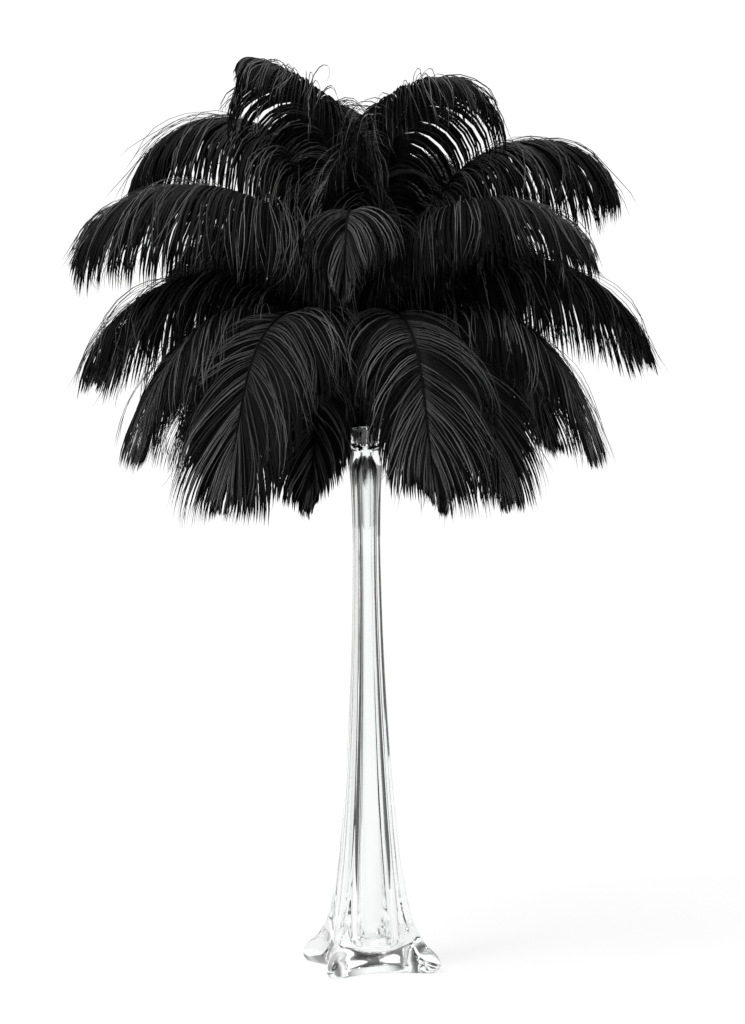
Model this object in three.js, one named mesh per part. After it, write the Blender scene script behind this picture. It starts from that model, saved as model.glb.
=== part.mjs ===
// A spray of dyed ostrich plumes standing in a tall clear glass tower vase with a square, four-toed foot.
// Millimetres, +Z up. The origin is the middle of the flat underside of the foot, and the front of the
// spray faces -Y.
import * as THREE from "three";
import { mergeGeometries, mergeVertices } from "three/addons/utils/BufferGeometryUtils.js";

// Driving dimensions of the vase
const VASE_HEIGHT = 610;
const RIDGE_AZIMUTH = 59.5; // compass angle of one ridge of the square tower, in degrees
const TOE_REACH = 91; // axis to the outermost point of a toe
const SIDE_REACH = 50; // axis to the middle of a side of the foot
const TOE_RADIUS = 10; // roundness of a toe, seen from above
const TOE_TOP = 26; // height where the toes end and the ridges begin
const FLOOR_HEIGHT = 22; // inside bottom above the table
const FLOOR_BORE = 28;
const NECK_HEIGHT = 470; // narrowest part of the tower
const NECK_RIDGE = 18;
const NECK_SIDE = 14.2;
const NECK_BORE = 8.5;
const RING_HEIGHT = 582; // pinched ring under the cup
const RING_REACH = 15.5;
const THROAT_BORE = 5; // narrow way from the tower into the cup
const CUP_FLOOR = 587;
const CUP_FLOOR_BORE = 14;
const RIM_REACH = 22.5;
const RIM_BORE = 19.6;

// Driving dimensions of the plumes
const QUILL_FOOT = CUP_FLOOR + 0.5; // height of the quills' cut ends, just clear of the cup's floor
const QUILL_RADIUS = 1.25;
const SHAFT_TIP_RADIUS = 0.5;
const VANE_HALF_THICKNESS = 0.9;
const TIP_TAPER_FROM = 0.84; // share of the length where the barbs begin to shorten towards the tip
const TIP_BARB_SHARE = 0.3; // length of the last barbs, as a share of the longest
const LOCK_NOTCH = 0.74; // depth of the gaps between locks, as a share of the barb
const BARB_ANGLE = 62; // between shaft and barb, in degrees
const TIP_BARB_ANGLE = 24; // the same at the tip, where the barbs lie along the shaft
const BARB_TURN_FROM = 0.6; // share of the length where the barbs begin to turn to that angle
const LEVEL_DROOP = 90; // how far a barb that starts out level bends towards the ground, in degrees
const DROOP_POWER = 1.3; // how much more a rising barb bends, and how much less a falling one
const DROOP_HASTE = 1.6; // 1 bends a barb evenly, and more bends it sooner, so that its end hangs straight

// Steps along a plume, and stations along its shaft's curve
const QUILL_STEPS = 3;
const VANE_STEPS = 16;
const VANE_COLUMNS = 4;
const SHAFT_STATIONS = 120;
const BARB_STATIONS = 12;

// The tiers of the spray: how far from the axis their quills stand in the cup, and the shares of the
// length where the vane begins and where it has its full width
const TIERS = {
  crown: { foot: 4.6, vaneFrom: 0.28, vaneFull: 0.78 },
  middle: { foot: 8.2, vaneFrom: 0.22, vaneFull: 0.66 },
  skirt: { foot: 11.6, vaneFrom: 0.18, vaneFull: 0.6 },
  inner: { foot: 8.2, vaneFrom: 0.24, vaneFull: 0.62 },
};

// Each plume: tier, compass direction it leans to, rise of its quill, dip of its tip, length, the shares
// of the length where its bend begins and ends, and the length of its longest barbs. Angles in degrees.
const PLUMES = [
  ["crown", 219, 83, -62, 505, 0.55, 1.3, 98],
  ["crown", 319, 84, -54, 540, 0.55, 1.03, 115],
  ["crown", 159, 78, -52, 570, 0.46, 1.03, 108],
  ["crown", 11, 76, -60, 552, 0.35, 1.15, 125],
  ["crown", 114, 84, -45, 515, 0.58, 1.1, 88],
  ["crown", 64, 79, -55, 500, 0.45, 1.1, 98],
  ["middle", 193, 88, -74, 545, 0.05, 1.3, 130],
  ["middle", 263, 79, -88, 465, 0.4, 0.86, 75],
  ["middle", 335, 86, -70, 500, 0.15, 1.16, 104],
  ["middle", 8, 77, -72, 512, 0.08, 1.06, 125],
  ["middle", 168, 78, -84, 488, 0.04, 1.15, 125],
  ["middle", 46, 84, -76, 520, 0.1, 1.2, 106],
  ["middle", 92, 85, -76, 520, 0.1, 1.2, 102],
  ["middle", 138, 84, -76, 520, 0.1, 1.2, 102],
  ["skirt", 234, 84, -74, 448, 0.03, 0.83, 112],
  ["skirt", 200, 82, -74, 450, 0.03, 0.9, 105],
  ["skirt", 287, 84, -72, 449, 0.03, 0.79, 105],
  ["skirt", 315, 82, -80, 402, 0.03, 0.83, 88],
  ["skirt", 344, 82, -74, 440, 0.03, 0.9, 100],
  ["skirt", 25, 82, -76, 446, 0.03, 0.88, 108],
  ["skirt", 62, 82, -76, 453, 0.03, 0.85, 112],
  ["skirt", 100, 82, -76, 452, 0.03, 0.85, 118],
  ["skirt", 145, 82, -76, 446, 0.03, 0.87, 112],
  ["inner", 242, 83, -84, 320, 0.12, 0.7, 62],
];

const clearGlass = new THREE.MeshStandardMaterial({
  color: 0xeef2f2,
  roughness: 0.05,
  transparent: true,
  opacity: 0.35,
});
const blackPlume = new THREE.MeshStandardMaterial({ color: 0x151518, roughness: 0.7 });

const radians = THREE.MathUtils.degToRad;
const mix = THREE.MathUtils.lerp;
const ease = THREE.MathUtils.smoothstep;

// Position alone, with shared corners merged, so that the surface is one closed body.
function closed(geometry) {
  geometry.deleteAttribute("normal");
  geometry.deleteAttribute("uv");
  return mergeVertices(geometry, 1e-3);
}

// The vase's wall, one level a row: height, reach at a ridge and reach at the middle of a side. A round
// level leaves the last out. It runs from the middle of the underside, up the outside, over the rim and
// down the inside to the middle of the inside bottom.
const VASE_WALL = [
  [0, 0],
  [0, TOE_REACH - 10, SIDE_REACH - 12],
  [2.5, TOE_REACH - 3, SIDE_REACH - 5],
  [10, TOE_REACH, SIDE_REACH],
  [18, TOE_REACH - 3, SIDE_REACH - 1.5],
  [25, TOE_REACH - 12, SIDE_REACH - 4],
  [32, 71, 44.5],
  [49, 59.5, 40.5],
  [67, 53, 37.5],
  [100, 45, 33.5],
  [140, 38.5, 29.5],
  [193, 33, 25.5],
  [247, 28.2, 22],
  [302, 24.6, 19.2],
  [363, 21, 16.5],
  [NECK_HEIGHT, NECK_RIDGE, NECK_SIDE],
  [520, 18.6, 15.2],
  [560, 20.2, 18],
  [573, 20, 19],
  [RING_HEIGHT, RING_REACH],
  [592, 18],
  [VASE_HEIGHT - 3, RIM_REACH],
  [VASE_HEIGHT, RIM_REACH - 1],
  [VASE_HEIGHT, RIM_BORE],
  [CUP_FLOOR, CUP_FLOOR_BORE],
  [CUP_FLOOR - 1, THROAT_BORE],
  [572, THROAT_BORE],
  [567, 13],
  [NECK_HEIGHT, NECK_BORE],
  [302, 13],
  [140, 22],
  [60, 30],
  [FLOOR_HEIGHT + 6, FLOOR_BORE + 5],
  [FLOOR_HEIGHT, FLOOR_BORE],
  [FLOOR_HEIGHT, 0],
];

// Angles from one ridge to the next, closer together near the ridges, where the toes are round
const RIDGE_STEPS = [0, 4.5, 8, 22, 45, 68, 82, 85.5];

// Reach of the wall at an angle from a ridge: a straight side where the ridge stands 1.41 times as far out
// as the side, a hollow side where it stands further out, and a circle where the two are alike. Each toe
// swells to a circle of its own at the end of its ridge.
function wallReach(height, ridge, side, fromRidge) {
  if (ridge === side) return ridge;
  const hollow = Math.log(ridge / side) / Math.log(Math.SQRT2);
  const reach = side * Math.cos(radians(fromRidge - 45)) ** -hollow;
  const toeMiddle = ridge - TOE_RADIUS;
  const aside = radians(Math.min(fromRidge, 90 - fromRidge));
  const offToe = toeMiddle * Math.sin(aside);
  if (height > TOE_TOP || offToe >= TOE_RADIUS) return reach;
  return Math.max(reach, toeMiddle * Math.cos(aside) + Math.sqrt(TOE_RADIUS ** 2 - offToe ** 2));
}

function vase() {
  const turns = [0, 90, 180, 270].flatMap((quarter) => RIDGE_STEPS.map((step) => quarter + step));
  const profile = VASE_WALL.map(([height, ridge]) => new THREE.Vector2(ridge, height));
  const geometry = new THREE.LatheGeometry(profile, turns.length);
  const corners = geometry.attributes.position;
  for (let i = 0; i < corners.count; i++) {
    const turn = turns[Math.floor(i / profile.length) % turns.length];
    const [height, ridge, side = ridge] = VASE_WALL[i % profile.length];
    const reach = wallReach(height, ridge, side, turn % 90);
    const azimuth = radians(RIDGE_AZIMUTH + turn);
    corners.setXYZ(i, reach * Math.cos(azimuth), reach * Math.sin(azimuth), height);
  }
  const mesh = new THREE.Mesh(closed(geometry), clearGlass);
  mesh.name = "vase";
  return mesh;
}

// The shaft of a plume lies in one upright plane through the vase's axis: it rises from the cup, arches
// over and dips. Places along it are given as shares of its length.
function plumeShaft(foot, azimuth, rise, dip, length, bendFrom, bendTo) {
  const out = new THREE.Vector3(Math.cos(azimuth), Math.sin(azimuth), 0);
  const up = new THREE.Vector3(0, 0, 1);
  const side = new THREE.Vector3().crossVectors(up, out);
  const heading = (share) => radians(mix(rise, dip, ease(share, bendFrom, bendTo)));
  const along = (share) =>
    out.clone().multiplyScalar(Math.cos(heading(share))).addScaledVector(up, Math.sin(heading(share)));
  const points = [out.clone().multiplyScalar(foot).setZ(QUILL_FOOT)];
  for (let i = 0; i < SHAFT_STATIONS; i++) {
    const step = along((i + 0.5) / SHAFT_STATIONS);
    points.push(points[i].clone().addScaledVector(step, length / SHAFT_STATIONS));
  }
  const at = (share) => points[Math.round(share * SHAFT_STATIONS)].clone();
  return { at, along, side };
}

// A barb leaves the shaft at an angle and bends towards the ground. This gives the place and the direction
// at a part of its length.
function barbArc(along, outward, angle, part) {
  const start = along.clone().multiplyScalar(Math.cos(angle)).addScaledVector(outward, Math.sin(angle));
  const down = new THREE.Vector3(0, 0, -1);
  const toGround = start.angleTo(down);
  const droop = Math.min(toGround, radians(LEVEL_DROOP) * (toGround / radians(90)) ** DROOP_POWER);
  const fall = down.addScaledVector(start, -down.dot(start)).normalize();
  const heading = (share) => {
    const bend = droop * (1 - (1 - share) ** DROOP_HASTE);
    return start.clone().multiplyScalar(Math.cos(bend)).addScaledVector(fall, Math.sin(bend));
  };
  const place = new THREE.Vector3();
  for (let i = 0; i < BARB_STATIONS; i++) {
    place.addScaledVector(heading((part * (i + 0.5)) / BARB_STATIONS), part / BARB_STATIONS);
  }
  return { place, heading: heading(part) };
}

// Length of the barbs at a step of the plume: none on the quill, then growing, and cut into locks.
function barbLength(tier, longest, share, step) {
  const grown = ease(share, tier.vaneFrom, tier.vaneFull);
  const taper = mix(1, TIP_BARB_SHARE, ease(share, TIP_TAPER_FROM, 1));
  const lock = step % 2 ? 1 : LOCK_NOTCH;
  return longest * grown * taper * lock;
}

// Where a corner of the plume's upper or lower sheet goes: across runs from -1 to 1 over both vanes, and
// through is 1 on the upper side, -1 on the underside and 0 along the edges, where the two sheets meet.
function plumePoint(shaft, tier, longest, step, across, through) {
  const inVane = (step - QUILL_STEPS) / VANE_STEPS;
  const share = inVane < 0 ? (tier.vaneFrom * step) / QUILL_STEPS : mix(tier.vaneFrom, 1, inVane);
  const along = shaft.along(share);
  const radius = mix(QUILL_RADIUS, SHAFT_TIP_RADIUS, share);
  const barb = barbLength(tier, longest, share, step);
  const place = shaft.at(share);
  if (across === 0 || barb <= radius) {
    const face = new THREE.Vector3().crossVectors(along, shaft.side);
    return place.addScaledVector(shaft.side, across * radius).addScaledVector(face, through * radius);
  }
  const outward = shaft.side.clone().multiplyScalar(Math.sign(across));
  const angle = radians(mix(BARB_ANGLE, TIP_BARB_ANGLE, ease(share, BARB_TURN_FROM, 1)));
  const arc = barbArc(along, outward, angle, Math.abs(across));
  const face = new THREE.Vector3().crossVectors(along, arc.heading).normalize();
  const lift = Math.sign(across) * through * VANE_HALF_THICKNESS;
  return place.addScaledVector(arc.place, barb).addScaledVector(face, lift);
}

// A plume is one solid: a quill that flattens into two vanes whose edges are cut into locks. It is made as
// two flat sheets, one for each side, whose corners are moved to their places and whose edges then meet.
// The sheets are divided alike, so they lie parallel wherever the vane is twisted.
function plume(name, tier, azimuth, rise, dip, length, bendFrom, bendTo, longestBarb) {
  const shaft = plumeShaft(tier.foot, radians(azimuth), rise, dip, length, bendFrom, bendTo);
  const steps = QUILL_STEPS + VANE_STEPS;
  const sheet = (upper) => {
    const geometry = new THREE.PlaneGeometry(2, steps, VANE_COLUMNS, steps);
    const corners = geometry.attributes.position;
    for (let i = 0; i < corners.count; i++) {
      const step = Math.round(steps / 2 - corners.getY(i));
      const across = corners.getX(i);
      const bulge = step === 0 || step === steps ? 0 : Math.sqrt(1 - across ** 2);
      const place = plumePoint(shaft, tier, longestBarb, step, across, upper * bulge);
      corners.setXYZ(i, place.x, place.y, place.z);
    }
    if (upper < 0) geometry.index.array.reverse();
    return geometry;
  };
  const mesh = new THREE.Mesh(closed(mergeGeometries([sheet(1), sheet(-1)])), blackPlume);
  mesh.name = name;
  return mesh;
}

const spray = new THREE.Group();
spray.add(vase());
const tierCounts = { crown: 0, middle: 0, skirt: 0, inner: 0 };
for (const [tier, ...shape] of PLUMES) {
  tierCounts[tier] += 1;
  spray.add(plume(`${tier}_plume_${tierCounts[tier]}`, TIERS[tier], ...shape));
}

export default spray;
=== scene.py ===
"""A spray of dyed ostrich plumes in a tall clear glass tower vase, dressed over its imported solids.

Metres, +Z up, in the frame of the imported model: the origin is the middle of the underside of the foot, and
the front of the spray faces -Y.
"""
import math
from collections import namedtuple

import bmesh
import bpy
import numpy as np
from bpy.props import FloatProperty, FloatVectorProperty, IntProperty, PointerProperty
from mathutils import Matrix, Vector


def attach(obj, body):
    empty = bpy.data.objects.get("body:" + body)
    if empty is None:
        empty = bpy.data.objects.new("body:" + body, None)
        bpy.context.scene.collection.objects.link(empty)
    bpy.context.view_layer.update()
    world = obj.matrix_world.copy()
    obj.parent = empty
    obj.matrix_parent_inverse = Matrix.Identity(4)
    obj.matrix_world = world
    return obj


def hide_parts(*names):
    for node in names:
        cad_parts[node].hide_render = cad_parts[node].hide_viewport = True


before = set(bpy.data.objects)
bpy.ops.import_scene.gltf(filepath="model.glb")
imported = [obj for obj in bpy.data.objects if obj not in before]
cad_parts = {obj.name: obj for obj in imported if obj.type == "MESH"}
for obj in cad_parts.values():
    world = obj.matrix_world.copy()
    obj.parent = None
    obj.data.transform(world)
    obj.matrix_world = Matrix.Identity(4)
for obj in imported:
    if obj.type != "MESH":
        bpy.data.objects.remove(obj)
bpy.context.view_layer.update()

bl_info = {
    "name": "Plume Spray in a Tower Vase",
    "version": (1, 0, 0),
    "blender": (4, 5, 0),
    "location": "3D View > Sidebar > Plume Spray",
    "description": "Builds a clear glass tower vase, its ostrich plumes and a plain studio",
    "category": "Object",
}

WHITE = (1.0, 1.0, 1.0, 1.0)
BLACK = (0.0, 0.0, 0.0, 1.0)
TINY = 1e-6
LEAST_LENGTH = 1e-12

# The tiers of the spray: how far from the axis their quills stand in the cup, and the share of a plume's
# length about which its vane begins
Tier = namedtuple("Tier", "foot vane_from")
TIERS = {
    "crown": Tier(0.0046, 0.28),
    "middle": Tier(0.0082, 0.22),
    "skirt": Tier(0.0116, 0.18),
    "inner": Tier(0.0082, 0.24),
}

# Each plume: the compass direction it leans to, the rise of its quill and the slope it bends down to, in
# degrees, its length, the shares of the length where its bend begins and would end, the length its barbs
# are sized by, and the share of its length where its shaft ends and only barbs go on. Some have fuller or
# thinner barbs on one side.
PLUME_FIELDS = "tier azimuth rise dip length bend_from bend_to longest end right left"
Plume = namedtuple("Plume", PLUME_FIELDS, defaults=(1.0, 1.0))
PLUMES = (
    Plume("crown", 219, 83, -62, 0.505, 0.55, 1.3, 0.098, 0.96),
    Plume("crown", 319, 84, -54, 0.540, 0.55, 1.03, 0.115, 0.89),
    Plume("crown", 159, 78, -52, 0.570, 0.46, 1.03, 0.108, 0.98),
    Plume("crown", 11, 76, -60, 0.552, 0.35, 1.15, 0.125, 0.92),
    Plume("crown", 114, 84, -45, 0.515, 0.58, 1.1, 0.088, 0.95),
    Plume("crown", 64, 79, -55, 0.500, 0.45, 1.1, 0.098, 0.94),
    Plume("middle", 193, 88, -74, 0.545, 0.05, 1.3, 0.130, 0.92),
    Plume("middle", 263, 79, -88, 0.465, 0.4, 0.86, 0.075, 0.87),
    Plume("middle", 335, 86, -70, 0.500, 0.15, 1.16, 0.104, 0.92),
    Plume("middle", 8, 77, -72, 0.512, 0.08, 1.06, 0.125, 0.88),
    Plume("middle", 168, 78, -84, 0.488, 0.04, 1.15, 0.125, 0.9),
    Plume("middle", 46, 84, -76, 0.520, 0.1, 1.2, 0.106, 0.92),
    Plume("middle", 92, 85, -76, 0.520, 0.1, 1.2, 0.102, 0.92),
    Plume("middle", 138, 84, -76, 0.520, 0.1, 1.2, 0.102, 0.92),
    Plume("skirt", 234, 84, -74, 0.448, 0.03, 0.83, 0.112, 0.99),
    Plume("skirt", 200, 82, -74, 0.450, 0.03, 0.9, 0.105, 0.93),
    Plume("skirt", 287, 84, -72, 0.449, 0.03, 0.79, 0.105, 0.97, 0.8),
    Plume("skirt", 315, 82, -80, 0.402, 0.03, 0.83, 0.088, 0.99),
    Plume("skirt", 344, 82, -74, 0.440, 0.03, 0.9, 0.100, 0.95),
    Plume("skirt", 25, 82, -76, 0.446, 0.03, 0.88, 0.108, 0.87),
    Plume("skirt", 62, 82, -76, 0.453, 0.03, 0.85, 0.112, 0.86),
    Plume("skirt", 100, 82, -76, 0.452, 0.03, 0.85, 0.118, 0.86),
    Plume("skirt", 145, 82, -76, 0.446, 0.03, 0.87, 0.112, 0.88),
    Plume("inner", 242, 83, -84, 0.320, 0.12, 0.7, 0.062, 1.0, 1.2, 0.95),
)

# The quills' cut ends stand at one height. Barbs near the axis are kept short, so that they stay above the
# cup, and those beyond the span of distances from the axis are free of it.
QUILL_FOOT = 0.5875
CUP_CLEAR = 0.622
CUP_SPAN = (0.03, 0.1)
SHORTEST_BARB = 0.006
FREE_BARB = 1.0

# Shares of a plume's length, counted from where its vane begins: its first barb, and where its down and then
# its vane grow to full length
FIRST_BARB = -0.13
DOWN_GROWTH = (-0.14, 0.0)
VANE_GROWTH = (-0.1, 0.2)

# Angles of the barbs to their shaft, in degrees, on most of it and at its end, and the share of the shaft
# from which they turn
BARB_ANGLE = 68.0
TIP_BARB_ANGLE = 5.0
BARB_TURN_FROM = 0.6

# Lengths of the barbs: how far they reach for the length a plume is given, the share of it that is left at
# the shaft's end, and the run over which they shorten
BARB_REACH = 1.4
TIP_BARB_SHARE = 0.24
TIP_TAPER_RUN = 0.09

# How barbs bend to the ground: the degrees by which a level one does, how fast that grows the higher a barb
# points, and how early along a barb the bend comes
LEVEL_DROOP = 84.0
DROOP_POWER = 1.7
DROOP_HASTE = 1.15

# The two layers of barbs: how much of the differences between locks and between barbs they show, their lift
# off the vane, and their width for the width that is set. The lower layer is even and closes the vane, and
# its near-black tone is a painted shade under the paler upper locks.
Layer = namedtuple("Layer", "lock_share barb_share lift width")
UNDER = Layer(0.05, 0.12, 0.13, 1.85)
OVER = Layer(1.0, 1.0, 0.2, 0.62)
UNDER_LENGTHS = (0.9, 1.03)
# Near-black tone of the lower layer: painted shade
UNDER_SHADE_TONE = 0.012

# Random differences, from lock to lock and from barb to barb, in angle, lift, droop and length, and in how
# far barbs lean along the shaft and away from it, on their way and at their ends
Spread = namedtuple("Spread", "lock barb")
ANGLE_SPREAD = Spread(3.0, 1.6)
LIFT_SPREAD = Spread(0.12, 0.08)
DROOP_SPREAD = Spread(0.08, 0.03)
LENGTH_SPREAD = Spread(0.08, 0.06)
SWAY_SPREAD = Spread(0.09, 0.05)
FAN_SPREAD = Spread(0.06, 0.03)
HOOK_SPREAD = Spread(1.0, 0.8)
CURL_SPREAD = Spread(0.6, 0.3)
LOCK_LENGTH_LIMITS = (-0.2, 0.03)
BARB_LENGTH_LIMITS = (-0.16, 0.02)
SPACING_PLAY = (0.2, 0.8)

# The ends of the barbs curl in. Barbs swing to and fro, by a share of their length at most, and the barbs of
# a lock draw together from a little way along.
CURL = 0.65
CURL_FROM = 0.6
BARB_WAVE = 0.002
WAVE_LIMIT = 0.07
WAVE_BEATS = (0.8, 1.7)
PHASE_SPREAD = 0.9
GATHER_FROM = 0.1

# How pale the locks of the upper layer are, with more of them dark, and how barbs differ from their lock.
# The paleness is partly the plumes' own random tone and partly a painted sheen on the top of the vane.
LOCK_TONES = (0.3, 1.0)
LOCK_TONE_POWER = 1.5
BARB_TONES = (0.5, 1.4)

# The meshes of a plume. Barbs are rooted beside and under the middle of the shaft, in shares of its radius,
# and slim down to their tips.
SHAFT_STATIONS = 200
SHAFT_RINGS = 61
SHAFT_SIDES = 8
SHAFT_POINT = 0.004
STRAND_SIDES = 3
ROOT_ASIDE = 0.6
ROOT_BELOW = 1.1
TIP_SLIMMING = 0.8
SLIMMING_POWER = 4

# Where a barb lies in its own square of the UV map: left edge, step from corner to corner, bottom and height
MAP_LEFT = 0.15
MAP_STEP = 0.35
MAP_BOTTOM = 0.1
MAP_HEIGHT = 0.8

# Angles from one ridge of the vase to the next, closer together at the ridges, where the toes are round
RIDGE_STEPS = (0.0, 4.5, 8.0, 22.0, 45.0, 68.0, 82.0, 85.5)
GLASS_LEVELS = 2

# Roughness of the glass: its haze, and its ground underside with the heights over which that ends
HAZE_ROUGHNESS = 0.016
GROUND_ROUGHNESS = 0.3
GROUND_HEIGHTS = (0.0005, 0.003)

# The dye and painted sheen: how pale a barb is at its root and how much paler at its tip, a painted sheen
# and light through the thin ends, the least share of that in a fleck, where patches turn brown and by how
# much, and how rough the barbs are
ROOT_PALENESS = 0.45
TIP_SHEEN_GAIN = 0.7
FLECK_LEAST = 0.5
BROWN_PATCHES = (0.5, 0.72)
BROWN_SHARE = 0.6
BARB_ROUGHNESS = 0.42
FLECK_ROUGHNESS = 0.25

# The backdrop: its strength for the eye, its share for what is mirrored and what more is let through glass,
# and how dark its sides are and where they begin
BACKDROP = 1.04
MIRRORED = 0.1
LET_THROUGH = 0.9
SIDE_DARKNESS = 0.8
SIDE_SPAN = (0.12, 0.6)

# The sheet on the floor, which fades into the backdrop over a span of distances from the vase
FLOOR_HALF = 60.0
FLOOR_SQUARES = 8
FLOOR_FADE = (0.3, 1.6)
FLOOR_GLOW = (0.78, 0.78, 0.78, 1.0)
SHEET_ROUGHNESS = 0.5
CLOUD_ROUGHNESS = 0.1

# The cards beside the vase: where their middles stand, how deep and high they are, and their grey
FLAG_ASIDE = 0.75
FLAG_BACK = 0.1
FLAG_MIDDLE = 0.62
FLAG_DEPTH = 1.5
FLAG_HEIGHT = 1.2
FLAG_GREY = (0.14, 0.14, 0.14, 1.0)

# The lights: where each one stands, its width and the setting with its power. All point at one place.
Light = namedtuple("Light", "name place width power")
LIGHTS = (
    Light("key_light", (-1.3, -1.2, 2.5), 1.2, "key_power"),
    Light("fill_light", (1.6, -1.1, 2.0), 1.4, "fill_power"),
    Light("top_light", (0.0, 0.3, 2.6), 1.8, "top_power"),
)
LIGHT_AIM = (0.0, 0.0, 0.6)
FRAME_HEIGHT = 36.0


class VaseSettings(bpy.types.PropertyGroup):
    """Sizes and glass of the tower vase."""

    height: FloatProperty(name="Height", description="Foot to rim", default=0.610, unit="LENGTH")
    ridge_azimuth: FloatProperty(name="Ridge direction", description="Compass angle of one ridge",
                                 default=math.radians(59.5), subtype="ANGLE")
    toe_reach: FloatProperty(name="Toe reach", description="Axis to the outermost point of a toe",
                             default=0.091, unit="LENGTH")
    side_reach: FloatProperty(name="Side reach", description="Axis to the middle of a side of the foot",
                              default=0.050, unit="LENGTH")
    toe_radius: FloatProperty(name="Toe radius", description="Roundness of a toe seen from above",
                              default=0.010, unit="LENGTH")
    toe_top: FloatProperty(name="Toe top", description="Height where the toes end and the ridges begin",
                           default=0.026, unit="LENGTH")
    neck_ridge: FloatProperty(name="Neck ridge", description="Axis to a ridge at the narrowest place",
                              default=0.018, unit="LENGTH")
    neck_side: FloatProperty(name="Neck side", description="Axis to a side at the narrowest place",
                             default=0.0142, unit="LENGTH")
    ring_reach: FloatProperty(name="Ring reach", description="Radius of the pinched ring under the cup",
                              default=0.0155, unit="LENGTH")
    rim_reach: FloatProperty(name="Rim radius", description="Outer radius of the cup's rim",
                             default=0.0225, unit="LENGTH")
    floor_height: FloatProperty(name="Bottom thickness", description="Inside bottom above the table",
                                default=0.022, unit="LENGTH")
    glass_tint: FloatVectorProperty(name="Glass tint", description="Colour of the clear glass",
                                    default=(0.97, 0.985, 0.98), size=3, subtype="COLOR",
                                    min=0.0, max=1.0)
    refraction: FloatProperty(name="Refraction", description="Index of refraction of the glass",
                              default=1.5)


class PlumeSettings(bpy.types.PropertyGroup):
    """Barbs and colours of the plumes."""

    spacing: FloatProperty(name="Barb spacing", description="Distance between barbs along a shaft",
                           default=0.00105, unit="LENGTH")
    width: FloatProperty(name="Barb width", description="Width of a barb where it leaves the shaft",
                         default=0.0021, unit="LENGTH")
    thickness: FloatProperty(name="Barb thickness", description="Thickness of a barb across its vane",
                             default=0.0006, unit="LENGTH")
    quill_radius: FloatProperty(name="Quill radius", description="Radius of a quill at its cut end",
                                default=0.00125, unit="LENGTH")
    shaft_tip_radius: FloatProperty(name="Shaft tip radius", description="Radius of a shaft at its tip",
                                    default=0.0008, unit="LENGTH")
    steps: IntProperty(name="Barb steps", description="Straight pieces that make up one barb", default=8)
    lock: IntProperty(name="Barbs in a lock", description="Barbs of both layers to a lock, on average",
                      default=9)
    gather: FloatProperty(name="Gather", description="How far a lock's barbs draw together at their ends",
                          default=0.38, subtype="FACTOR")
    stray: FloatProperty(name="Stray barbs", description="Share of the barbs that belong to no lock",
                         default=0.12, subtype="FACTOR")
    over: FloatProperty(name="Over", description="Share of the barbs that lie over the vane in paler locks",
                        default=0.44, subtype="FACTOR")
    wave: FloatProperty(name="Wave", description="How far a lock swings to each side along its length",
                        default=0.004, unit="LENGTH")
    down: FloatProperty(name="Down", description="Length of the down on a quill, as a share of the barbs",
                        default=0.34, subtype="FACTOR")
    deep_black: FloatVectorProperty(name="Deep black", description="Colour of the darkest barbs",
                                    default=(0.0012, 0.0012, 0.0013), size=3, subtype="COLOR",
                                    min=0.0, max=1.0)
    # Palest barbs: partly their own tone, partly a painted sheen where light falls on the upper locks
    sheen_and_pale_black: FloatVectorProperty(name="Worn black", description="Colour of the palest barbs",
                                    default=(0.15, 0.149, 0.152), size=3, subtype="COLOR",
                                    min=0.0, max=1.0)
    brown_cast: FloatVectorProperty(name="Brown cast", description="Colour where the dye has taken less",
                                    default=(0.030, 0.025, 0.019), size=3, subtype="COLOR",
                                    min=0.0, max=1.0)
    seed: IntProperty(name="Seed", description="Start of the random numbers", default=7)


class StageSettings(bpy.types.PropertyGroup):
    """Camera, floor and light of the studio."""

    camera_distance: FloatProperty(name="Camera distance", description="Camera to the vase's axis",
                                   default=2.670, unit="LENGTH")
    camera_height: FloatProperty(name="Camera height", description="Camera above the table",
                                 default=0.514, unit="LENGTH")
    camera_aside: FloatProperty(name="Camera aside", description="Camera to the right of the axis",
                                default=0.0071, unit="LENGTH")
    camera_roll: FloatProperty(name="Camera roll", description="Clockwise lean of the camera",
                               default=math.radians(0.6), subtype="ANGLE")
    lens: FloatProperty(name="Lens", description="Focal length for a 36 mm frame height",
                        default=83.07, unit="CAMERA")
    key_power: FloatProperty(name="Key light", description="Power of the light from the upper left",
                             default=66.0, unit="POWER")
    fill_power: FloatProperty(name="Fill light", description="Power of the light from the right",
                              default=19.0, unit="POWER")
    top_power: FloatProperty(name="Top light", description="Power of the light overhead",
                             default=34.0, unit="POWER")
    floor_white: FloatVectorProperty(name="Floor", description="Colour of the floor near the vase",
                                     default=(0.26, 0.26, 0.26), size=3, subtype="COLOR",
                                     min=0.0, max=1.0)


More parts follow.
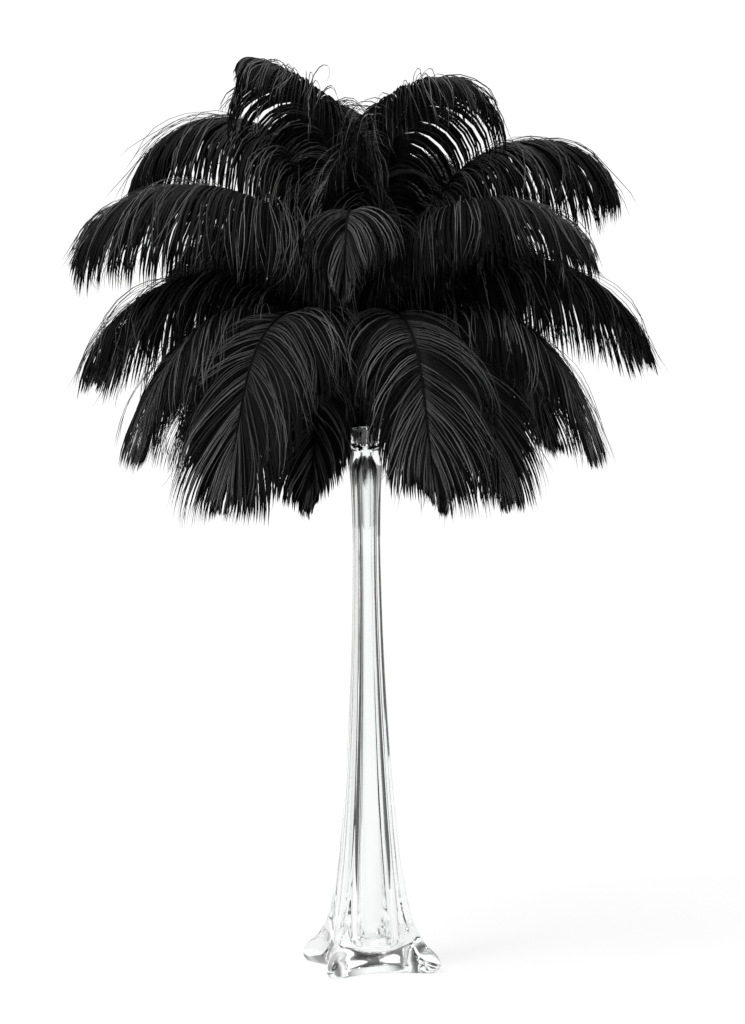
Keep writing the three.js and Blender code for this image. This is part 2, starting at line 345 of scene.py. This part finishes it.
class Shade:
    """A socket of a node tree, on which Python's operators stand for Math nodes."""

    def __init__(self, tree, socket=None):
        self.tree = tree
        self.socket = socket

    def node(self, kind, settings=None, inputs=None, output=0):
        """Add a node, with its settings set first and then its sockets, and give one of its outputs."""
        made = self.tree.nodes.new(kind)
        for name, value in (settings or {}).items():
            setattr(made, name, value)
        for name, value in (inputs or {}).items():
            if isinstance(value, Shade):
                self.tree.links.new(value.socket, made.inputs[name])
            else:
                made.inputs[name].default_value = value
        return Shade(self.tree, made.outputs[output] if len(made.outputs) else None)

    def math(self, operation, *values):
        return self.node("ShaderNodeMath", {"operation": operation}, dict(enumerate(values)))

    def blend(self, factor, first, second):
        """A colour between two colours."""
        return self.node("ShaderNodeMix", {"data_type": "RGBA"}, {0: factor, 6: first, 7: second}, 2)

    def ease(self, low, high):
        """Zero below low, one above high and smooth between."""
        inputs = {"Value": self, "From Min": low, "From Max": high}
        return self.node("ShaderNodeMapRange", {"interpolation_type": "SMOOTHSTEP"}, inputs)

    def __add__(self, other):
        return self.math("ADD", self, other)

    def __rsub__(self, other):
        return self.math("SUBTRACT", other, self)

    def __mul__(self, other):
        return self.math("MULTIPLY", self, other)


def new_material(name):
    """An empty material, and the start of its shader sums."""
    material = bpy.data.materials.new(name)
    material.use_nodes = True
    material.node_tree.nodes.clear()
    return material, Shade(material.node_tree)


def opaque(colour):
    return (colour[0], colour[1], colour[2], 1.0)


def clear_glass(settings):
    """Pressed clear glass: clear, with faint upright ripples, a breath of haze and a ground underside."""
    material, shade = new_material("clear_glass")
    place = shade.node("ShaderNodeTexCoord", output="Object")
    ripple_scale = {"Vector": place, "Scale": (70.0, 70.0, 9.0)}
    stretched = shade.node("ShaderNodeMapping", inputs=ripple_scale)
    ripple = shade.node("ShaderNodeTexNoise", inputs={"Vector": stretched, "Scale": 1.0, "Detail": 2.0})
    haze = shade.node("ShaderNodeTexNoise", inputs={"Vector": place, "Scale": 35.0, "Detail": 3.0})
    height = shade.node("ShaderNodeSeparateXYZ", inputs={"Vector": place}, output="Z")
    ground = 1.0 - height.ease(*GROUND_HEIGHTS)
    bump = shade.node("ShaderNodeBump", inputs={"Height": ripple, "Strength": 0.08, "Distance": 0.0012})
    surface = shade.node("ShaderNodeBsdfPrincipled", inputs={
        "Base Color": opaque(settings.glass_tint),
        "Roughness": haze * HAZE_ROUGHNESS + ground * GROUND_ROUGHNESS,
        "IOR": settings.refraction,
        "Transmission Weight": 1.0,
        "Normal": bump,
    })
    shade.node("ShaderNodeOutputMaterial", inputs={"Surface": surface})
    return material


def black_barbs(settings):
    """Dyed plume: black barbs with a painted sheen, paler towards their ends, and a browner cast here and
    there.
    """
    material, shade = new_material("black_plume")
    tone = shade.node("ShaderNodeAttribute", {"attribute_name": "tone"}, output="Fac")
    run = shade.node("ShaderNodeAttribute", {"attribute_name": "run"}, output="Fac")
    place = shade.node("ShaderNodeTexCoord", output="Object")
    patch = shade.node("ShaderNodeTexNoise", inputs={"Vector": place, "Scale": 9.0, "Detail": 2.0})
    fleck = shade.node("ShaderNodeTexNoise", inputs={"Vector": place, "Scale": 420.0, "Detail": 2.0})
    # Paler towards the tip and on the pale locks: painted sheen over the barbs' own random tone
    pale = tone * (run * TIP_SHEEN_GAIN + ROOT_PALENESS) * (fleck + FLECK_LEAST)
    dyed_and_sheen = shade.blend(pale, opaque(settings.deep_black), opaque(settings.sheen_and_pale_black))
    brown = patch.ease(*BROWN_PATCHES) * tone * BROWN_SHARE
    colour = shade.blend(brown, dyed_and_sheen, opaque(settings.brown_cast))
    surface = shade.node("ShaderNodeBsdfPrincipled", inputs={
        "Base Color": colour,
        "Roughness": fleck * FLECK_ROUGHNESS + BARB_ROUGHNESS,
        "Specular IOR Level": 0.06,
        "Sheen Weight": 0.01,
        "Sheen Roughness": 0.5,
    })
    shade.node("ShaderNodeOutputMaterial", inputs={"Surface": surface})
    return material


def white_floor(settings):
    """Glowing studio sheet that takes the light near the vase and is plain white away from it."""
    material, shade = new_material("white_sheet")
    place = shade.node("ShaderNodeTexCoord", output="Object")
    cloud = shade.node("ShaderNodeTexNoise", inputs={"Vector": place, "Scale": 2.0})
    distance = shade.node("ShaderNodeVectorMath", {"operation": "LENGTH"}, {0: place}, "Value")
    away = distance.ease(*FLOOR_FADE)
    surface = shade.node("ShaderNodeBsdfPrincipled", inputs={
        "Base Color": shade.blend(away, opaque(settings.floor_white), BLACK),
        "Roughness": cloud * CLOUD_ROUGHNESS + SHEET_ROUGHNESS,
        "Specular IOR Level": 0.2,
        "Emission Color": shade.blend(away, FLOOR_GLOW, WHITE),
        "Emission Strength": BACKDROP,
    })
    shade.node("ShaderNodeOutputMaterial", inputs={"Surface": surface})
    return material


def add_object(name, mesh, material):
    piece = bpy.data.objects.new(name, mesh)
    mesh.materials.append(material)
    bpy.context.scene.collection.objects.link(piece)
    return piece


def wall_levels(vase):
    """The vase's wall from the middle of the underside, over the rim, to the middle of the inside bottom.

    Each level is its height, its reach at a ridge and its reach at the middle of a side.
    """
    toe, side, rim = vase.toe_reach, vase.side_reach, vase.rim_reach
    top, floor, ring = vase.height, vase.floor_height, vase.ring_reach
    return (
        (0.0, 0.0, 0.0),
        (0.0, 0.060, 0.028),
        (0.0, toe - 0.010, side - 0.012),
        (0.0025, toe - 0.003, side - 0.005),
        (0.010, toe, side),
        (0.018, toe - 0.003, side - 0.0015),
        (0.025, toe - 0.012, side - 0.004),
        (0.032, 0.071, 0.0445),
        (0.049, 0.0595, 0.0405),
        (0.067, 0.053, 0.0375),
        (0.100, 0.045, 0.0335),
        (0.140, 0.0385, 0.0295),
        (0.193, 0.033, 0.0255),
        (0.247, 0.0282, 0.022),
        (0.302, 0.0246, 0.0192),
        (0.363, 0.021, 0.0165),
        (0.470, vase.neck_ridge, vase.neck_side),
        (0.520, 0.0186, 0.0152),
        (0.560, 0.0202, 0.018),
        (0.573, 0.020, 0.019),
        (0.582, ring, ring),
        (0.592, 0.018, 0.018),
        (top - 0.003, rim, rim),
        (top, rim - 0.001, rim - 0.001),
        (top, 0.0196, 0.0196),
        (0.587, 0.014, 0.014),
        (0.586, 0.005, 0.005),
        (0.572, 0.005, 0.005),
        (0.567, 0.013, 0.013),
        (0.470, 0.0085, 0.0085),
        (0.302, 0.013, 0.013),
        (0.140, 0.022, 0.022),
        (0.060, 0.030, 0.030),
        (floor + 0.006, 0.033, 0.033),
        (floor, 0.028, 0.028),
        (floor, 0.0, 0.0),
    )


def wall_reach(vase, height, ridge, side, from_ridge):
    """Reach of the wall at an angle from a ridge: round, or with bent sides and a toe at each ridge."""
    if ridge - side < TINY:
        return ridge
    hollow = math.log(ridge / side) / math.log(math.sqrt(2.0))
    reach = side * math.cos(from_ridge - math.pi / 4.0) ** -hollow
    toe_middle = ridge - vase.toe_radius
    aside = min(from_ridge, math.pi / 2.0 - from_ridge)
    off_toe = toe_middle * math.sin(aside)
    if height > vase.toe_top or off_toe >= vase.toe_radius:
        return reach
    return max(reach, toe_middle * math.cos(aside) + math.sqrt(vase.toe_radius ** 2 - off_toe ** 2))


def vase_mesh(vase):
    """The vase as one closed wall: its profile is spun, then each corner is moved to the square form."""
    turns = [90.0 * quarter + step for quarter in range(4) for step in RIDGE_STEPS]
    bm = bmesh.new()
    at_ridge = bm.verts.layers.float.new("at_ridge")
    at_side = bm.verts.layers.float.new("at_side")
    wall = []
    for height, ridge, side in wall_levels(vase):
        corner = bm.verts.new((ridge, 0.0, height))
        corner[at_ridge] = ridge
        corner[at_side] = side
        wall.append(corner)
    edges = [bm.edges.new(pair) for pair in zip(wall, wall[1:])]
    bmesh.ops.spin(bm, geom=wall + edges, cent=(0.0, 0.0, 0.0), axis=(0.0, 0.0, 1.0), dvec=(0.0, 0.0, 0.0),
                   angle=math.tau, steps=len(turns), use_merge=True, use_duplicate=False)
    bmesh.ops.remove_doubles(bm, verts=bm.verts, dist=TINY)
    for corner in bm.verts:
        part = math.atan2(corner.co.y, corner.co.x) / math.tau
        turn = turns[round(part * len(turns)) % len(turns)]
        reach = wall_reach(vase, corner.co.z, corner[at_ridge], corner[at_side], math.radians(turn % 90.0))
        azimuth = vase.ridge_azimuth + math.radians(turn)
        corner.co = (reach * math.cos(azimuth), reach * math.sin(azimuth), corner.co.z)
    bmesh.ops.recalc_face_normals(bm, faces=bm.faces)
    for face in bm.faces:
        face.smooth = True
    mesh = bpy.data.meshes.new("tower_vase")
    bm.to_mesh(mesh)
    bm.free()
    return mesh


def mix(first, second, share):
    return first + (second - first) * share


def ease(value, low, high):
    """Zero below low, one above high and smooth between."""
    share = np.clip((value - low) / (high - low), 0.0, 1.0)
    return share * share * (3.0 - 2.0 * share)


def unit(vectors):
    return vectors / np.maximum(np.linalg.norm(vectors, axis=-1, keepdims=True), LEAST_LENGTH)


class Shaft:
    """The upright curve of a plume: it rises from the cup, arches over and dips."""

    def __init__(self, plume):
        azimuth = math.radians(plume.azimuth)
        self.plume = plume
        self.out = np.array((math.cos(azimuth), math.sin(azimuth), 0.0))
        self.up = np.array((0.0, 0.0, 1.0))
        self.side = np.cross(self.up, self.out)
        self.shares = np.linspace(0.0, 1.0, SHAFT_STATIONS + 1)
        middles = (self.shares[1:] + self.shares[:-1]) / 2.0
        moves = self.along(middles) * plume.length / SHAFT_STATIONS
        foot = TIERS[plume.tier].foot * self.out + QUILL_FOOT * self.up
        self.points = np.vstack((foot, foot + np.cumsum(moves, axis=0)))

    def along(self, share):
        plume = self.plume
        heading = np.radians(mix(plume.rise, plume.dip, ease(share, plume.bend_from, plume.bend_to)))
        return np.cos(heading)[:, None] * self.out + np.sin(heading)[:, None] * self.up

    def at(self, share):
        return np.stack([np.interp(share, self.shares, self.points[:, axis]) for axis in range(3)], axis=1)


def barb_lengths(plume, share, down):
    """Length of the barbs along a plume: down on the quill, then growing, and shorter again at the tip."""
    from_vane = share - TIERS[plume.tier].vane_from
    grown = ease(from_vane, *VANE_GROWTH)
    downy = down * ease(from_vane, *DOWN_GROWTH)
    to_end = (plume.end - share) * plume.length
    taper = mix(TIP_BARB_SHARE, 1.0, np.clip(to_end / TIP_TAPER_RUN, 0.0, 1.0))
    return BARB_REACH * plume.longest * np.maximum(grown, downy) * taper


def barb_paths(shaft, hand, settings, rng):
    """The points of the barbs on one side of a shaft, their tones and widths, and the shaft's direction.

    Dark barbs lie under and close the vane. Paler ones lie over them and cling together in locks.
    """
    plume = shaft.plume
    first = TIERS[plume.tier].vane_from + FIRST_BARB
    count = int(plume.length * (plume.end - first) / settings.spacing)
    share = mix(first, plume.end, (np.arange(count) + rng.uniform(*SPACING_PLAY, count)) / count)
    over = np.mod(np.arange(count) * settings.over, 1.0) < settings.over
    sizes = rng.integers(settings.lock // 2, settings.lock * 3 // 2 + 1, count)
    lock = np.repeat(np.arange(count), sizes)[:count]
    locks = lock[-1] + 1

    def of_lock(spread):
        return rng.normal(0.0, spread, locks)[lock] * np.where(over, OVER.lock_share, UNDER.lock_share)

    def of_barb(spread):
        return rng.normal(0.0, spread, count) * np.where(over, OVER.barb_share, UNDER.barb_share)

    def differing(spread):
        return of_lock(spread.lock) + of_barb(spread.barb)

    along = shaft.along(share)
    outward = np.broadcast_to(hand * shaft.side, along.shape)
    upper = np.cross(along, np.broadcast_to(shaft.side, along.shape))
    angle = mix(BARB_ANGLE, TIP_BARB_ANGLE, ease(share / plume.end, BARB_TURN_FROM, 1.0))
    angle = np.radians(angle + differing(ANGLE_SPREAD))
    lift = np.where(over, OVER.lift, UNDER.lift) + differing(LIFT_SPREAD)
    start = np.cos(angle)[:, None] * along + np.sin(angle)[:, None] * outward + lift[:, None] * upper
    start = unit(start)
    down = np.array((0.0, 0.0, -1.0))
    to_ground = np.arccos(np.clip(start @ down, -1.0, 1.0))
    droop = np.radians(LEVEL_DROOP) * (to_ground / np.radians(90.0)) ** DROOP_POWER
    droop = np.minimum(to_ground, droop) * (1.0 + differing(DROOP_SPREAD))
    fall = unit(down - (start @ down)[:, None] * start)

    points = shaft.at(share)
    length = barb_lengths(plume, share, settings.down) * (plume.left if hand > 0.0 else plume.right)
    from_axis = np.linalg.norm(points[:, :2], axis=1)
    above_cup = np.maximum(points[:, 2] - CUP_CLEAR, SHORTEST_BARB)
    length = np.minimum(length, mix(above_cup, FREE_BARB, ease(from_axis, *CUP_SPAN)))
    length = length * np.where(over, 1.0, rng.uniform(*UNDER_LENGTHS, count))
    by_lock = np.clip(of_lock(LENGTH_SPREAD.lock), *LOCK_LENGTH_LIMITS)
    by_barb = np.clip(of_barb(LENGTH_SPREAD.barb), *BARB_LENGTH_LIMITS)
    length = length * (1.0 + by_lock + by_barb)
    sway = differing(SWAY_SPREAD)
    fan = differing(FAN_SPREAD)
    hook = differing(HOOK_SPREAD)
    curl = CURL + differing(CURL_SPREAD)
    swing = np.abs(of_lock(settings.wave)) + np.abs(of_barb(BARB_WAVE))
    beat = rng.uniform(*WAVE_BEATS, locks)[lock]
    phase = rng.uniform(0.0, math.tau, locks)[lock] + of_barb(PHASE_SPREAD)

    paths = np.empty((count, settings.steps + 1, 3))
    radius = mix(settings.quill_radius, settings.shaft_tip_radius, share)[:, None]
    paths[:, 0] = points + ROOT_ASIDE * radius * outward - ROOT_BELOW * radius * upper
    for step in range(settings.steps):
        part = (step + 0.5) / settings.steps
        ending = max(part - CURL_FROM, 0.0)
        bend = droop * (1.0 - (1.0 - part) ** DROOP_HASTE)
        heading = np.cos(bend)[:, None] * start + np.sin(bend)[:, None] * fall
        heading = heading + (sway * part + hook * ending)[:, None] * along
        heading = unit(heading + (fan * part - curl * ending)[:, None] * outward)
        paths[:, step + 1] = paths[:, step] + heading * (length / settings.steps)[:, None]
    parts = np.linspace(0.0, 1.0, settings.steps + 1)
    wave = np.sin(math.tau * beat[:, None] * parts + phase[:, None]) - np.sin(phase)[:, None]
    room = np.minimum(swing, WAVE_LIMIT * length)[:, None] * parts
    paths += (wave * room)[:, :, None] * along[:, None, :]

    middle = np.zeros((locks, settings.steps + 1, 3))
    np.add.at(middle, lock, paths)
    middle /= np.bincount(lock, minlength=locks)[:, None, None]
    stray = rng.uniform(0.0, 1.0, count) < settings.stray
    clinging = np.where(over & ~stray, settings.gather, 0.0)
    pull = clinging[:, None] * ease(parts, GATHER_FROM, 1.0)[None, :]
    paths += pull[:, :, None] * (middle[lock] - paths)
    # Upper locks pale, partly a painted sheen; the lower layer dark, a painted shade
    bright = mix(*LOCK_TONES, rng.uniform(0.0, 1.0, locks)[lock] ** LOCK_TONE_POWER)
    tone = np.where(over, bright, UNDER_SHADE_TONE) * rng.uniform(*BARB_TONES, count)
    wide = settings.width * np.where(over, OVER.width, UNDER.width)
    return paths, tone, wide, along


def strand_rings(paths, along, wide, thick):
    """Three corners around each point of the barbs but the last, which is the tip."""
    heading = unit(np.gradient(paths, axis=1))
    across = along[:, None, :] - np.sum(along[:, None, :] * heading, axis=2, keepdims=True) * heading
    across = unit(across)
    face = np.cross(across, heading)
    parts = np.linspace(0.0, 1.0, paths.shape[1])
    slim = (1.0 - TIP_SLIMMING * parts ** SLIMMING_POWER)[None, :, None]
    rings = np.empty(paths.shape[:2] + (STRAND_SIDES, 3))
    for corner in range(STRAND_SIDES):
        turn = math.tau * corner / STRAND_SIDES + math.pi / 2.0
        aside = (math.cos(turn) / 2.0 * wide)[:, None, None]
        above = math.sin(turn) * thick / 2.0
        rings[:, :, corner] = paths + slim * (aside * across + above * face)
    return rings[:, :-1]


def tube_rings(shaft, settings):
    """Rings of corners around the shaft from its cut end to where it comes to a point, and that point."""
    share = np.linspace(0.0, shaft.plume.end, SHAFT_RINGS)
    along = shaft.along(share)
    upper = np.cross(along, np.broadcast_to(shaft.side, along.shape))
    radius = mix(settings.quill_radius, settings.shaft_tip_radius, share)[:, None]
    points = shaft.at(share)
    rings = np.empty((1, len(share), SHAFT_SIDES, 3))
    for corner in range(SHAFT_SIDES):
        turn = math.tau * corner / SHAFT_SIDES
        rings[0, :, corner] = points + radius * (math.cos(turn) * shaft.side + math.sin(turn) * upper)
    tips = (points[-1] + along[-1] * SHAFT_POINT)[None, :]
    return rings, tips


def strand_faces(count, rings, sides, first):
    """Corner numbers of closed strands: four-sided walls, three-sided tips, and the cut ends."""
    size = rings * sides + 1
    base = first + size * np.arange(count)[:, None]
    ring, corner = np.meshgrid(np.arange(rings - 1), np.arange(sides), indexing="ij")
    low = (ring * sides + corner).ravel()
    low_next = (ring * sides + (corner + 1) % sides).ravel()
    walls = np.stack((low, low_next, low_next + sides, low + sides), axis=1)
    last = (rings - 1) * sides + np.arange(sides)
    last_next = (rings - 1) * sides + (np.arange(sides) + 1) % sides
    tips = np.stack((last, last_next, np.full(sides, size - 1)), axis=1)
    ends = np.arange(sides)[::-1][None, :]
    groups = (walls, tips, ends)
    return [(base[:, :, None] + faces[None, :, :]).reshape(-1, faces.shape[1]) for faces in groups]


def plume_mesh(name, plume, settings, rng):
    """One plume: its shaft and all its barbs, joined into one mesh with a tone for each barb."""
    shaft = Shaft(plume)
    left = barb_paths(shaft, 1.0, settings, rng)
    right = barb_paths(shaft, -1.0, settings, rng)
    paths, tone, wide, along = (np.concatenate(pair) for pair in zip(left, right))
    barbs = len(paths)
    rings = strand_rings(paths, along, wide, settings.thickness)
    strands = np.concatenate((rings.reshape(barbs, -1, 3), paths[:, -1:]), axis=1)
    shaft_rings, shaft_tips = tube_rings(shaft, settings)
    tube = np.concatenate((shaft_rings.reshape(-1, 3), shaft_tips))
    corners = np.concatenate((strands.reshape(-1, 3), tube))
    faces = strand_faces(barbs, settings.steps, STRAND_SIDES, 0)
    faces += strand_faces(1, shaft_rings.shape[1], SHAFT_SIDES, barbs * strands.shape[1])

    mesh = bpy.data.meshes.new(name)
    mesh.vertices.add(len(corners))
    mesh.vertices.foreach_set("co", corners.ravel())
    loops = np.concatenate([group.ravel() for group in faces])
    totals = np.concatenate([np.full(len(group), group.shape[1]) for group in faces])
    starts = np.concatenate(((0,), np.cumsum(totals)[:-1]))
    mesh.loops.add(len(loops))
    mesh.loops.foreach_set("vertex_index", loops)
    mesh.polygons.add(len(starts))
    mesh.polygons.foreach_set("loop_start", starts)
    mesh.update(calc_edges=True)
    mesh.shade_smooth()

    parts = np.append(np.repeat(np.arange(settings.steps) / settings.steps, STRAND_SIDES), 1.0)
    tones = np.concatenate((np.repeat(tone, strands.shape[1]), np.zeros(len(tube))))
    runs = np.concatenate((np.tile(parts, barbs), np.zeros(len(tube))))
    mesh.attributes.new("tone", "FLOAT", "POINT").data.foreach_set("value", tones)
    mesh.attributes.new("run", "FLOAT", "POINT").data.foreach_set("value", runs)
    add_barb_map(mesh, loops, barbs, strands.shape[1], runs)
    return mesh


def add_barb_map(mesh, loops, barbs, strand_size, runs):
    """A UV map that gives every barb a square of its own, with its length from the bottom to the top."""
    strand = np.minimum(loops // strand_size, barbs)
    squares = math.ceil(math.sqrt(barbs + 1))
    corner = np.where(strand < barbs, (loops % strand_size) % STRAND_SIDES, 1)
    across = MAP_LEFT + MAP_STEP * corner
    up = MAP_BOTTOM + MAP_HEIGHT * runs[loops]
    spots = np.stack(((strand % squares + across) / squares, (strand // squares + up) / squares), axis=1)
    mesh.uv_layers.new(name="OFBake").data.foreach_set("uv", spots.ravel())


class PLUMESPRAY_OT_stage(bpy.types.Operator):
    """Set up the camera, the white floor, the backdrop, the cards and the soft lights"""

    bl_idname = "plumespray.stage"
    bl_label = "Studio"

    def execute(self, context):
        stage = context.scene.plume_stage
        add_camera(context.scene, stage)
        add_floor(stage)
        add_world(context.scene)
        for hand in (-1.0, 1.0):
            add_flag(hand)
        for light in LIGHTS:
            add_light(light, getattr(stage, light.power))
        context.scene.view_settings.view_transform = "Standard"
        return {"FINISHED"}


def add_camera(scene, stage):
    data = bpy.data.cameras.new("camera")
    data.sensor_fit = "VERTICAL"
    data.sensor_height = FRAME_HEIGHT
    data.lens = stage.lens
    camera = bpy.data.objects.new("camera", data)
    camera.location = (stage.camera_aside, -stage.camera_distance, stage.camera_height)
    camera.rotation_euler = (math.pi / 2.0, stage.camera_roll, 0.0)
    scene.collection.objects.link(camera)
    scene.camera = camera


def add_floor(stage):
    bm = bmesh.new()
    bmesh.ops.create_grid(bm, x_segments=FLOOR_SQUARES, y_segments=FLOOR_SQUARES, size=FLOOR_HALF)
    mesh = bpy.data.meshes.new("floor")
    bm.to_mesh(mesh)
    bm.free()
    add_object("floor", mesh, white_floor(stage))


def add_flag(hand):
    """A dark card beside the vase, for the lines along the edges of the glass. The camera doesn't see it."""
    place = Matrix.Translation((hand * FLAG_ASIDE, FLAG_BACK, FLAG_MIDDLE))
    upright = Matrix.Rotation(math.pi / 2.0, 4, "Z") @ Matrix.Rotation(math.pi / 2.0, 4, "X")
    size = Matrix.Diagonal((FLAG_DEPTH, FLAG_HEIGHT, 1.0, 1.0))
    bm = bmesh.new()
    bmesh.ops.create_grid(bm, x_segments=1, y_segments=1, size=0.5, matrix=place @ upright @ size)
    mesh = bpy.data.meshes.new("flag")
    bm.to_mesh(mesh)
    bm.free()
    material, shade = new_material("flag_black")
    surface = shade.node("ShaderNodeBsdfDiffuse", inputs={"Color": FLAG_GREY})
    shade.node("ShaderNodeOutputMaterial", inputs={"Surface": surface})
    flag = add_object("flag", mesh, material)
    flag.visible_camera = False
    flag.visible_diffuse = False
    flag.visible_shadow = False


def add_world(scene):
    """White all round for the eye, and darker to the sides for what the glass and barbs mirror."""
    world = bpy.data.worlds.new("studio")
    scene.world = world
    world.use_nodes = True
    world.node_tree.nodes.clear()
    shade = Shade(world.node_tree)
    toward = shade.node("ShaderNodeTexCoord", output="Generated")
    across = shade.node("ShaderNodeSeparateXYZ", inputs={"Vector": toward}, output="X")
    dark = across.math("ABSOLUTE", across).ease(*SIDE_SPAN)
    seen = shade.node("ShaderNodeLightPath", output="Is Camera Ray")
    through = shade.node("ShaderNodeLightPath", output="Is Transmission Ray")
    unseen = (through * LET_THROUGH + MIRRORED) * (1.0 - dark * SIDE_DARKNESS)
    strength = seen * BACKDROP + (1.0 - seen) * unseen
    backdrop = shade.node("ShaderNodeBackground", inputs={"Color": WHITE, "Strength": strength})
    shade.node("ShaderNodeOutputWorld", inputs={"Surface": backdrop})


def add_light(light, power):
    data = bpy.data.lights.new(light.name, "AREA")
    data.shape = "DISK"
    data.size = light.width
    data.energy = power
    lamp = bpy.data.objects.new(light.name, data)
    lamp.location = light.place
    lamp.rotation_euler = (Vector(LIGHT_AIM) - Vector(light.place)).to_track_quat("-Z", "Y").to_euler()
    bpy.context.scene.collection.objects.link(lamp)


class PLUMESPRAY_OT_vase(bpy.types.Operator):
    """Build the clear glass tower vase"""

    bl_idname = "plumespray.vase"
    bl_label = "Tower Vase"

    def execute(self, context):
        settings = context.scene.plume_vase
        piece = add_object("tower_vase", vase_mesh(settings), clear_glass(settings))
        smooth = piece.modifiers.new("Smooth glass", "SUBSURF")
        smooth.levels = GLASS_LEVELS
        smooth.render_levels = GLASS_LEVELS
        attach(piece, "root")
        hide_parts("vase")
        return {"FINISHED"}


class PLUMESPRAY_OT_plumes(bpy.types.Operator):
    """Build all the plumes of the spray, barb by barb"""

    bl_idname = "plumespray.plumes"
    bl_label = "Plumes"

    def execute(self, context):
        settings = context.scene.plume_barbs
        material = black_barbs(settings)
        counts = dict.fromkeys(TIERS, 0)
        for number, plume in enumerate(PLUMES):
            counts[plume.tier] += 1
            node = f"{plume.tier}_plume_{counts[plume.tier]}"
            name = f"{plume.tier}_barbs_{counts[plume.tier]}"
            rng = np.random.default_rng(settings.seed + number)
            piece = add_object(name, plume_mesh(name, plume, settings, rng), material)
            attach(piece, "root")
            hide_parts(node)
        return {"FINISHED"}


class PLUMESPRAY_PT_panel(bpy.types.Panel):
    """Lists the settings and the pieces of the spray"""

    bl_idname = "PLUMESPRAY_PT_panel"
    bl_label = "Plume Spray"
    bl_space_type = "VIEW_3D"
    bl_region_type = "UI"
    bl_category = "Plume Spray"

    def draw(self, context):
        scene = context.scene
        groups = (
            ("plumespray.stage", scene.plume_stage),
            ("plumespray.vase", scene.plume_vase),
            ("plumespray.plumes", scene.plume_barbs),
        )
        for operator, settings in groups:
            box = self.layout.box()
            box.operator(operator)
            for name in settings.bl_rna.properties.keys():
                if name not in ("rna_type", "name"):
                    box.prop(settings, name)


CLASSES = (
    VaseSettings,
    PlumeSettings,
    StageSettings,
    PLUMESPRAY_OT_stage,
    PLUMESPRAY_OT_vase,
    PLUMESPRAY_OT_plumes,
    PLUMESPRAY_PT_panel,
)


def register():
    for cls in CLASSES:
        bpy.utils.register_class(cls)
    bpy.types.Scene.plume_vase = PointerProperty(type=VaseSettings)
    bpy.types.Scene.plume_barbs = PointerProperty(type=PlumeSettings)
    bpy.types.Scene.plume_stage = PointerProperty(type=StageSettings)


def unregister():
    del bpy.types.Scene.plume_stage
    del bpy.types.Scene.plume_barbs
    del bpy.types.Scene.plume_vase
    for cls in reversed(CLASSES):
        bpy.utils.unregister_class(cls)


def main():
    register()
    bpy.ops.plumespray.stage()
    bpy.ops.plumespray.vase()
    bpy.ops.plumespray.plumes()


if __name__ == "__main__":
    main()
